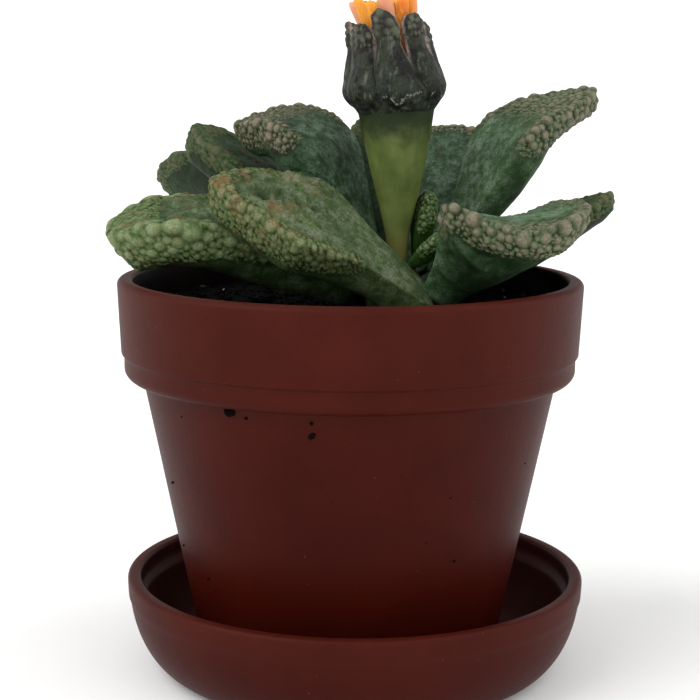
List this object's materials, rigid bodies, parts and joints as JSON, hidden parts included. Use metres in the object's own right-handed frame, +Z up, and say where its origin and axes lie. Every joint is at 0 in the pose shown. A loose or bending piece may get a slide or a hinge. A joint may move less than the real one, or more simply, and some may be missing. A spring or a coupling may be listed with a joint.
{
  "type": "potted titanopsis",
  "caption": "Small stone-like succulent with warty spoon-shaped leaves and a closed flower, in a plastic pot on its saucer.",
  "frame": {"origin": "centre of the saucer's flat underside, on the surface it stands on", "axes": "+Z up; -Y is the front, towards the viewer of the picture; the tall leaf is on the +X side"},
  "size_m": [0.0594, 0.055, 0.0801],
  "materials": {
    "saucer_plastic": "satin, dark brown-red, lightly scuffed",
    "pot_plastic": "satin, dark brown-red, lightly scuffed and dusty",
    "soil": "matte, near-black crumbs",
    "crown_tissue": "matte, olive green",
    "stalk_tissue": "satin, smooth olive green, darker at the top",
    "calyx_tissue": "matte, dark green and purple, with pale warts and papery margins",
    "petal_tissue": "satin, orange-yellow",
    "leaf_tissue": "matte, grey-green with a pale bloom and beige warts",
    "sunlit_leaf_tissue": "matte, yellow-green with pale warts and a brown tinge"
  },
  "bodies": {
    "root": {"saucer": "saucer_plastic", "pot": "pot_plastic", "soil": "soil", "crown": "crown_tissue", "flower_stalk": "stalk_tissue", "calyx": "calyx_tissue", "petals": "petal_tissue", "leaf_01": "sunlit_leaf_tissue", "leaf_02": "sunlit_leaf_tissue", "leaf_03": "leaf_tissue", "leaf_04": "leaf_tissue", "leaf_05": "leaf_tissue", "leaf_06": "leaf_tissue", "leaf_07": "leaf_tissue", "leaf_08": "leaf_tissue", "leaf_09": "leaf_tissue", "leaf_10": "leaf_tissue", "leaf_11": "leaf_tissue", "leaf_12": "leaf_tissue", "leaf_13": "leaf_tissue", "leaf_14": "leaf_tissue"}
  },
  "joints": []
}
